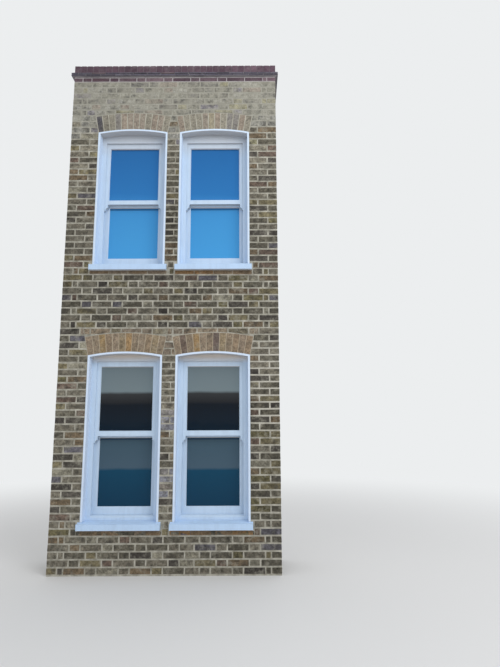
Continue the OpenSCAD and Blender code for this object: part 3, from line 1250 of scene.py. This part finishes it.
    def span(self, level: int, x: float) -> Span:
        """Gives the bottom and top of a course's bricks.

        Args:
            level: the course's number, from 0 at the ground.
            x: the place across the front.

        Returns:
            The two heights.
        """
        if level == self.courses - 1:
            return BAY.parapet + BAY.joint / 2, BAY.creasing - self.red_top
        return self.bed(level, x) + BAY.joint / 2, self.bed(level + 1, x) - BAY.joint / 2

    def shade(self, x: float, z: float) -> float:
        """Says how light the bricks are at a place: lighter or darker by height and across the front, as
        the table gives it, with soft patches.

        Args:
            x: the place across the front.
            z: the height.

        Returns:
            A gain for the bricks' tones.
        """
        left, middle, right = at_height(self.lightness_by_height, z)
        side = left if x < 0 else right
        gain = middle + (side - middle) * min(1.0, abs(x) / BAY.inner)
        patch = noise.noise(Vector((x * self.patches, 3.0, z * self.patches)))
        return gain * (1 + self.patch_gain * patch)

    def fit(self, window: Window, brick: Stretch) -> Iterator[Stretch]:
        """Cuts a brick of the front where a window is in its way.

        Args:
            window: the window.
            brick: the brick.

        Yields:
            What is left of the brick, in one or two parts.
        """
        storey = window.storey
        reach = BAY.radius + BAY.ring + self.arch_joint
        crown = window.arch_centre.z + reach
        under = storey.sill - BAY.sill_h - self.sill_joint
        middle = (brick.z0 + brick.z1) / 2
        if brick.z1 < under or brick.z0 > crown:
            yield brick
        elif middle < storey.spring:
            block = BAY.opening / 2
            if middle < storey.sill + self.sill_lap:
                block += BAY.sill_end + self.sill_joint
            left, right = window.x - block, window.x + block
            for x0, x1 in ((brick.x0, min(brick.x1, left)), (max(brick.x0, right), brick.x1)):
                if x1 - x0 > self.least[0]:
                    yield replace(brick, x0=x0, x1=x1)
            x0, x1 = max(brick.x0, left), min(brick.x1, right)
            if x1 - x0 > self.least[0] and under - brick.z0 > self.least[1]:
                yield replace(brick, x0=x0, x1=x1, z1=under)
        else:
            yield from self.fit_arch(window, brick, reach)

    def fit_arch(self, window: Window, brick: Stretch, reach: float) -> Iterator[Stretch]:
        """Cuts a brick along the skewback or the back of an arch.

        Args:
            window: the window.
            brick: the brick.
            reach: radius of the cut bricks that lie on the arch.

        Yields:
            What is left of the brick.
        """
        centre, limit = window.arch_centre, BAY.arch_angle
        angles = [math.atan2(x - centre.x, z - centre.z) for x, z in brick.corners()]
        cuts = list(brick.cuts)
        for side in (-1, 1):
            out = Vector((side * math.sin(limit), 0, math.cos(limit)))
            towards = Vector((-side * math.cos(limit), 0, math.sin(limit)))
            if max(side * angle for angle in angles) > limit:
                if min(side * angle for angle in angles) > limit:
                    yield brick
                    return
                plane = (centre + out - towards * self.arch_joint / 2, towards)
                yield replace(brick, cuts=(*brick.cuts, plane))
                cuts.append((centre + out, -towards))
        inside = [max(-limit, min(limit, angle)) for angle in angles]
        turn = (min(inside) + max(inside)) / 2
        up = Vector((math.sin(turn), 0, math.cos(turn)))
        cuts.append((centre + up * reach, -up))
        yield replace(brick, cuts=tuple(cuts))

    def lay_front(self, bed: BrickBed, level: int) -> None:
        """Lays a course of the front, with its full bricks at the corners.

        Args:
            bed: the bricks that it is laid with.
            level: the course's number, from 0 at the ground.
        """
        depth = self.brick_lengths["H" if level % 2 else "S"]
        places = self.places(level)
        for number, (x0, x1) in enumerate(places):
            corner = number in (0, len(places) - 1)
            z0, z1 = self.span(level, math.copysign(BAY.half, x0) if corner else (x0 + x1) / 2)
            parts = [Stretch(x0, x1, z0, z1)]
            if not corner:
                for window in WINDOWS:
                    parts = [left for part in parts for left in self.fit(window, part)]
            for part in parts:
                bed.lay(
                    (part.x0, BAY.face, part.z0),
                    (part.x1, BAY.face + (depth if corner else self.skin), part.z1),
                    self.pick(bed, (part.x0 + part.x1) / 2, (part.z0 + part.z1) / 2),
                    bed=None if corner else (0, 1, 0),
                    cuts=part.cuts,
                )

    def pick(self, bed: BrickBed, x: float, z: float) -> Colour:
        """Picks a brick's tone for its place in the wall.

        Args:
            bed: the bricks that it is laid with.
            x: the place across the front.
            z: the height.

        Returns:
            The brick's colour.
        """
        if z > BAY.parapet:
            return REDS.pick(bed.rng, 1 + self.red_fade * x)
        washed = (z - self.pale_from) / self.pale_over
        batch = WASHED_STOCKS if bed.rng.random() < washed else STOCKS
        for own, (low, high), (near, far) in self.own_batches:
            if low < z < high and near <= abs(x) < far:
                batch = own
                break
        return batch.pick(bed.rng, self.shade(x, z))

    def lay_return(self, bed: BrickBed, level: int, side: int) -> None:
        """Lays a course of a return, with its cut end at the house.

        Args:
            bed: the bricks that it is laid with.
            level: the course's number, from 0 at the ground.
            side: -1 for the left return and 1 for the right one.
        """
        odd = level % 2
        outer, inner = side * BAY.half, side * BAY.inner
        z0, z1 = self.span(level, outer)
        for y0, y1 in self.return_flats[odd]:
            bed.lay(
                (outer, BAY.face + y0, z0),
                (outer - side * self.skin, BAY.face + y1, z1),
                self.pick(bed, outer + y0, (z0 + z1) / 2),
                bed=(-side, 0, 0),
            )
        for y0, near, deep in self.return_ends[odd]:
            bed.lay(
                (outer - side * near, BAY.face + y0, z0),
                (outer - side * deep, BAY.house, z1),
                self.pick(bed, outer + y0, (z0 + z1) / 2),
            )
        low = max(z0, BAY.lead_top + self.well_gap)
        if z1 - low < self.skin:
            return
        for y0, y1 in self.well_flats:
            if y1 <= self.return_flats[odd][-1][1]:
                bed.lay(
                    (inner, BAY.face + y0, low),
                    (inner + side * self.skin, BAY.face + y1, z1),
                    self.pick(bed, inner + y0, z1),
                    bed=(side, 0, 0),
                )
        if side > 0:
            reach = BAY.inner - self.well_gap
            for x0, x1 in self.units(self.well_courses[odd], -reach, reach):
                tone = self.pick(bed, x0, z1)
                bed.lay((x0, BAY.back - self.skin, low), (x1, BAY.back, z1), tone, bed=(0, -1, 0))

    def build_stocks(self) -> None:
        """Lays the stock bricks of the front and both returns."""
        front, left, right = (
            BrickBed(f"{wall}_stock_bricks", seed, STOCK_BRICK, wander=self.wander)
            for seed, wall in enumerate(("front", "left_return", "right_return"), 11)
        )
        for level in range(self.courses - 1):
            self.lay_front(front, level)
            self.lay_return(left, level, -1)
            self.lay_return(right, level, 1)
        for bed, wall in ((front, "front_wall"), (left, "left_return_wall"), (right, "right_return_wall")):
            keep(bed.piece(), "stock_brick", wall)

    def build_sill_beds(self) -> None:
        """Lays the stained slips of tile that bring the brickwork up to each sill."""
        bed = BrickBed("sill_beds", 14, ARCH_BRICK, wander=0.002, arris=(0.001, 0.002), least=0.006)
        reach = BAY.opening / 2 + BAY.sill_end
        slips = {"S": reach / 2 - self.slip_gap}
        for window in WINDOWS:
            under = window.storey.sill - BAY.sill_h
            for x0, x1 in self.units("SSSS", window.x - reach, window.x + reach, slips):
                level = int((under - self.slip_t - self.bed(0, 0.0)) / BAY.gauge)
                while self.span(level, (x0 + x1) / 2)[1] < under - self.sill_joint:
                    level += 1
                low = self.span(level, (x0 + x1) / 2)[0]
                bed.lay(
                    (x0, BAY.face + self.slip_in, min(low, under - self.slip_t)),
                    (x1, BAY.face + self.skin, under - self.slip_in),
                    BEDDING.pick(bed.rng),
                    bed=(0, 1, 0),
                )
        keep(bed.piece(), "stock_brick")

    def build_red_course(self) -> None:
        """Lays the red brick course under the creasing."""
        bed = BrickBed("red_course_bricks", 21, RED_BRICK, arris=(0.0015, 0.003))
        self.lay_front(bed, self.courses - 1)
        for side in (-1, 1):
            self.lay_return(bed, self.courses - 1, side)
        keep(bed.piece(), "red_brick", "red_brick_course")

    def build(self) -> None:
        """Builds the walls and the red course, with the mortar between their bricks."""
        walls = ("front_wall", "left_return_wall", "right_return_wall")
        MortarCore("wall_mortar", walls, "stock_brick", WALL_MORTAR).build()
        MortarCore("red_course_mortar", ("red_brick_course",), "red_brick", RED_MORTAR).build()
        self.build_stocks()
        self.build_sill_beds()
        self.build_red_course()


@dataclass
class ArchRing:
    """The ring of cut bricks over a window."""

    window: Window
    bricks: int = 12
    joint: float = 0.010
    # how much finer the joints of the ground floor are
    fine: float = 0.7
    skin: float = 0.030
    # how far the bricks stay inside the ring, at its underside and its back
    ring_in: Span = (0.001, 0.002)
    # bricks that stand out in the real arches, by window and place from the left
    odd_bricks: dict[tuple[str, int], str] = field(
        default_factory=lambda: {
            ("first_left", 0): "#58565a",
            ("ground_left", 2): "#917c5c",
            ("ground_left", 6): "#967c5a",
            ("ground_left", 9): "#8c7b66",
            ("ground_right", 1): "#6c5e54",
            ("ground_right", 3): "#937b59",
            ("ground_right", 5): "#8a7b69",
            ("ground_right", 6): "#675a54",
            ("ground_right", 10): "#877969",
        }
    )

    def build(self) -> None:
        """Lays the ring's bricks, each pointing at the centre of the arch."""
        title = self.window.title
        node = f"{title}_arch"
        first = self.window.storey is Storey.FIRST
        mortar = ARCH_MORTAR if first else WASHED_MORTAR
        MortarCore(f"{title}_arch_mortar", (node,), "arch_brick", mortar).build()
        seed = 31 + WINDOWS.index(self.window)
        bed = BrickBed(f"{title}_arch_bricks", seed, ARCH_BRICK, wander=0.001, arris=(0.0015, 0.003))
        step = 2 * BAY.arch_angle / self.bricks
        low, high = BAY.radius + self.ring_in[0], BAY.radius + BAY.ring - self.ring_in[1]
        joint, batch = (self.joint, TAN_ARCH) if first else (self.joint * self.fine, ORANGE_ARCH)
        half = (low + high) / 2 * step / 2 - joint / 2
        for number in range(self.bricks):
            tone = batch.pick(bed.rng)
            if (title, number) in self.odd_bricks:
                tone = linear(self.odd_bricks[title, number])
            turn = Matrix.Rotation((number + 0.5) * step - BAY.arch_angle, 4, "Y")
            place = Matrix.Translation(self.window.arch_centre) @ turn
            ends = (-half, 0.0, low), (half, self.skin, high)
            bed.lay(*ends, tone, bed=(0, 1, 0), splay=True, place=place)
        keep(bed.piece(), "arch_brick", node)


@dataclass
class Parapet:
    """The tile creasing and the brick-on-edge coping."""

    out: float = 0.030
    tile_t: float = 0.014
    tile_w: float = 0.165
    tile_gap: float = 0.006
    brick_t: float = 0.065
    joint: float = 0.010
    fillet_w: float = 0.026
    fillet_h: float = 0.020
    # how far the fillets go into the coping and the creasing, and stay short of the house
    fillet_in: Span = (0.004, 0.001)
    fillet_end: float = 0.001
    # the long sides of a fillet are cut into short runs, whose top waves a little
    fillet_long: float = 0.3
    fillet_cuts: int = 40
    fillet_waves: Span = (-0.004, 0.003)
    # how light the front's coping is, and how much lighter it gets for each metre to the right
    coping_gain: Span = (1.08, 0.16)
    bed_joint: float = 0.002
    tile_rows: Span = (0.004, 0.026)

    def row(self, start: float, end: float, width: float, gap: float) -> Iterator[Span]:
        """Divides a row into equal units.

        Args:
            start: where the row starts.
            end: where it ends.
            width: about how wide a unit is.
            gap: the joint between two units.

        Yields:
            The start and end of each unit.
        """
        count = max(1, round((end - start + gap) / (width + gap)))
        step = (end - start + gap) / count
        for number in range(count):
            yield start + number * step, start + (number + 1) * step - gap

    def build_coping(self) -> None:
        """Sets the bricks of the coping on edge across the wall."""
        node = "brick_on_edge_coping"
        MortarCore("coping_mortar", (node,), "red_brick", COPING_MORTAR, recess=0.004).build()
        bed = BrickBed("coping_bricks", 41, RED_BRICK, wander=0.0012, arris=(0.001, 0.002))
        low, high = BAY.coping + self.bed_joint, BAY.top
        gain, fade = self.coping_gain
        for x0, x1 in self.row(-BAY.half, BAY.half, self.brick_t, self.joint):
            tone = COPING_REDS.pick(bed.rng, gain + fade * max(0.0, x0))
            bed.lay((x0, BAY.face, low), (x1, BAY.back, high), tone)
        for y0, y1 in self.row(BAY.back + self.joint, BAY.house, self.brick_t, self.joint):
            for side in (-1, 1):
                tone = COPING_REDS.pick(bed.rng)
                bed.lay((side * BAY.half, y0, low), (side * BAY.inner, y1, high), tone)
        keep(bed.piece(), "red_brick", node)

    def build_creasing(self) -> None:
        """Lays the two courses of tiles, which break joint."""
        slot, node = "creasing_tile", "tile_creasing"
        core = MortarCore("creasing_mortar", (node,), slot, CREASING_MORTAR, recess=0.012, out=self.out)
        core.build()
        bed = BrickBed("creasing_tiles", 51, CREASING_TILE, wander=0.002, arris=(0.001, 0.002), least=0.008)
        reach, inside = BAY.half + self.out, BAY.inner - self.out
        front, back = BAY.face - self.out, BAY.back + self.out
        for number, rise in enumerate(self.tile_rows):
            low = BAY.creasing + rise
            shift = number * self.tile_w / 2
            tiles = [
                (x0, front, x1, back)
                for x0, x1 in self.row(-reach + shift, reach - shift, self.tile_w, self.tile_gap)
            ]
            if shift:
                end = reach - shift + self.tile_gap
                tiles += [(side * reach, front, side * end, back) for side in (-1, 1)]
            width = self.tile_w - 2 * shift / 3
            tiles += [
                (side * reach, y0, side * inside, y1)
                for y0, y1 in self.row(back + self.tile_gap, BAY.house, width, self.tile_gap)
                for side in (-1, 1)
            ]
            for x0, y0, x1, y1 in tiles:
                bed.lay((x0, y0, low), (x1, y1, low + self.tile_t), TILES.pick(bed.rng))
        keep(bed.piece(), slot, node)

    def build_fillets(self) -> None:
        """Runs the cement fillets in the angles between the creasing and the coping."""
        mesh = bmesh.new()
        into, sunk = self.fillet_in
        for sign, x, y in ((1, BAY.half, BAY.face), (-1, BAY.inner, BAY.back)):
            end = BAY.house - self.fillet_end
            rows = []
            for side, at, mitre in ((-1, end, 0), (-1, y, 1), (1, y, 1), (1, end, 0)):
                corner = [
                    mesh.verts.new(
                        (
                            side * (x + out - sign * into),
                            at - mitre * (out - sign * into),
                            BAY.coping - sunk + up,
                        )
                    )
                    for out, up in ((0.0, 0.0), (self.fillet_w * sign, 0.0), (0.0, self.fillet_h))
                ]
                rows.append([mesh.edges.new((corner[i], corner[(i + 1) % 3])) for i in range(3)])
            for first, second in zip(rows, rows[1:]):
                bmesh.ops.bridge_loops(mesh, edges=first + second)
            for ring in (rows[0], rows[-1]):
                bmesh.ops.contextual_create(mesh, geom=ring)
        runs = [edge for edge in mesh.edges if edge.calc_length() > self.fillet_long]
        bmesh.ops.subdivide_edges(mesh, edges=runs, cuts=self.fillet_cuts)
        rng = random.Random(61)
        for vert in mesh.verts:
            if vert.co.z > BAY.coping:
                vert.co.z += rng.uniform(*self.fillet_waves)
        bmesh.ops.recalc_face_normals(mesh, faces=mesh.faces[:])
        keep(as_object(mesh, "coping_cement_fillets", COPING_MORTAR), "creasing_tile")

    def build(self) -> None:
        """Builds the creasing, the coping and the fillets."""
        self.build_creasing()
        self.build_coping()
        self.build_fillets()


@dataclass
class TimberFloor:
    """The boards and joists of a floor or of the roof, open at the cut towards the house."""

    node: str
    board_t: float = 0.020
    board_w: float = 0.135
    joist_w: float = 0.050
    joists: int = 5
    gap: float = 0.001
    arris: Span = (0.001, 0.002)

    def build(self) -> None:
        """Lays joists from the front wall to the house, and boards across them."""
        low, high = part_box(self.node)
        boards = BrickBed(
            f"{self.node}_boards", 71, SawnPine("planed_pine_boards"), wander=0.0005, arris=self.arris
        )
        for number in range(math.ceil((high.y - low.y) / self.board_w)):
            y0 = low.y + number * self.board_w
            boards.lay(
                (low.x, y0 + self.gap, high.z - self.board_t),
                (high.x, min(y0 + self.board_w - self.gap, high.y), high.z),
                BOARDS.pick(boards.rng),
            )
        sawn = SawnPine("sawn_pine_joists", "#8f7350", "#5a432a", (1.0, 0.05, 1.0))
        joists = BrickBed(f"{self.node}_joists", 72, sawn, wander=0.001, arris=self.arris)
        span = high.x - low.x - self.joist_w
        for number in range(self.joists):
            x = low.x + number * span / (self.joists - 1)
            joists.lay(
                (x, low.y, low.z),
                (x + self.joist_w, high.y - self.gap, high.z - self.board_t),
                BOARDS.pick(joists.rng),
            )
        keep(boards.piece(), "floor_timber", self.node)
        keep(joists.piece(), "floor_timber", self.node)


@dataclass
class SolidDresser:
    """Gives the solids whose shape is right their finish and their rounded arrises."""

    wood: float = 0.0015
    timber_sill: float = 0.0020
    board: float = 0.0030
    render: float = 0.0030
    stone: float = 0.0035
    lead: float = 0.0015
    # how flat two faces are that become one, and how sharp an arris is that is rounded
    flat: float = math.radians(0.5)
    sharp: float = math.radians(30)

    def look(self, node: str) -> tuple[Finish, float]:
        """Says how a node looks.

        Args:
            node: the node's name.

        Returns:
            Its finish, and the width of its arrises or 0.
        """
        first = node.startswith("first")
        head = FIRST_HEAD_PAINT if first else GROUND_HEAD_PAINT
        render = FIRST_RENDER_PAINT if first else GROUND_RENDER_PAINT
        for ending, finish, arris in (
            ("_top_sash", head, self.wood),
            ("_bottom_sash", JOINERY_PAINT, self.wood),
            ("_box_frame", head, self.wood),
            ("_sill", SILL_PAINT, self.stone),
            ("_reveal", render, self.render),
            ("_architraves", ROOM_PAINT, self.wood),
            ("_timber_sills", JOINERY_PAINT, self.timber_sill),
            ("window_boards", ROOM_PAINT, self.board),
            ("_plaster", RoomPlaster("distempered_plaster"), 0.0),
            ("_glass", SKY_GLASS if first else STREET_GLASS, 0.0),
            ("lead_roof", SheetLead("milled_sheet_lead"), self.lead),
        ):
            if node.endswith(ending):
                return finish, arris
        return WALL_MORTAR, 0.0

    def build(self) -> None:
        """Dresses every node, also those that bricks and boards stand for."""
        for node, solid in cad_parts.items():
            finish, arris = self.look(node)
            solid.data.materials.clear()
            solid.data.materials.append(finish.material())
            if arris:
                self.round_arrises(solid, arris)
        LOG.info("%d nodes dressed", len(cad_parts))

    def round_arrises(self, solid: bpy.types.Object, width: float) -> None:
        """Joins a solid's loose triangles, and rounds its arrises.

        Args:
            solid: the node's object.
            width: the width of its arrises.
        """
        weld = solid.modifiers.new("joined", "WELD")
        weld.merge_threshold = WELD
        flat = solid.modifiers.new("flats", "DECIMATE")
        flat.decimate_type = "DISSOLVE"
        flat.angle_limit = self.flat
        bevel = solid.modifiers.new("arrises", "BEVEL")
        bevel.width = width
        bevel.segments = 2
        bevel.limit_method = "ANGLE"
        bevel.angle_limit = self.sharp
        bevel.harden_normals = True


@dataclass
class Studio:
    """The floor, the light and the camera."""

    focal_px: float = 501.0
    image_px: float = 667.0
    pitch: float = 9.39
    roll: float = -0.26
    eye: Point = (0.887, -5.6925, 1.6)
    backdrop: str = "#eceeef"
    sky_strength: float = 0.80
    key_power: float = 296.0
    key_size: float = 5.0
    key_place: Point = (4.6, -6.0, 7.5)
    key_aim: Point = (0.0, 0.0, 2.8)
    floor_radius: float = 120.0
    floor_sides: int = 96
    sensor_mm: float = 36.0
    sight: float = 500.0

    def build_floor(self) -> None:
        """Lays the floor that the bay stands on."""
        mesh = bmesh.new()
        bmesh.ops.create_circle(mesh, cap_ends=True, segments=self.floor_sides, radius=self.floor_radius)
        floor = as_object(mesh, "studio_floor", StudioFloor("studio_floor", far=self.backdrop))

    def build_light(self) -> None:
        """Lights the bay with an even sky and one soft lamp over the street."""
        world = bpy.data.worlds.new("studio")
        world.use_nodes = True
        tree = world.node_tree
        path = add(tree, "LightPath").outputs
        rays = (path["Is Camera Ray"], path["Is Glossy Ray"])
        glossy = add(tree, "Math", rays, operation="MAXIMUM").outputs[0]
        rays = (glossy, path["Is Transmission Ray"])
        shown = add(tree, "Math", rays, operation="MAXIMUM").outputs[0]
        sky, view = (
            add(tree, "Background", {"Color": colour, "Strength": strength}).outputs["Background"]
            for colour, strength in (
                ((1.0, 1.0, 1.0, 1.0), self.sky_strength),
                (linear(self.backdrop), 1.0),
            )
        )
        both = add(tree, "MixShader", (shown, sky, view)).outputs["Shader"]
        connect(tree, tree.nodes["World Output"], {"Surface": both})
        bpy.context.scene.world = world
        lamp = bpy.data.lights.new("soft_key", "AREA")
        lamp.shape = "DISK"
        lamp.size = self.key_size
        lamp.energy = self.key_power
        key = bpy.data.objects.new("soft_key", lamp)
        key.location = self.key_place
        aim = Vector(self.key_aim) - key.location
        key.rotation_euler = aim.to_track_quat("-Z", "Y").to_euler()
        bpy.context.scene.collection.objects.link(key)

    def build_camera(self) -> None:
        """Sets the camera where the photograph was taken from."""
        data = bpy.data.cameras.new("street_camera")
        data.sensor_width = self.sensor_mm
        data.lens = self.focal_px / self.image_px * data.sensor_width
        data.clip_end = self.sight
        camera = bpy.data.objects.new("street_camera", data)
        camera.matrix_world = (
            Matrix.Translation(self.eye)
            @ Matrix.Rotation(math.radians(90 + self.pitch), 4, "X")
            @ Matrix.Rotation(math.radians(self.roll), 4, "Z")
        )
        bpy.context.scene.collection.objects.link(camera)
        bpy.context.scene.camera = camera

    def build(self) -> None:
        """Builds the camera, the floor and the light, and sets the plain view."""
        self.build_camera()
        self.build_floor()
        self.build_light()
        bpy.context.scene.view_settings.view_transform = "Standard"


def main() -> None:
    """Builds the bay's pieces in order."""
    Studio().build()
    SolidDresser().build()
    BayBrickwork().build()
    for window in WINDOWS:
        ArchRing(window).build()
    Parapet().build()
    for node in ("ground_floor", "first_floor", "roof_deck"):
        TimberFloor(node).build()
    bpy.context.view_layer.update()


if __name__ == "__main__":
    logging.basicConfig(level=logging.INFO, format="%(message)s")
    main()
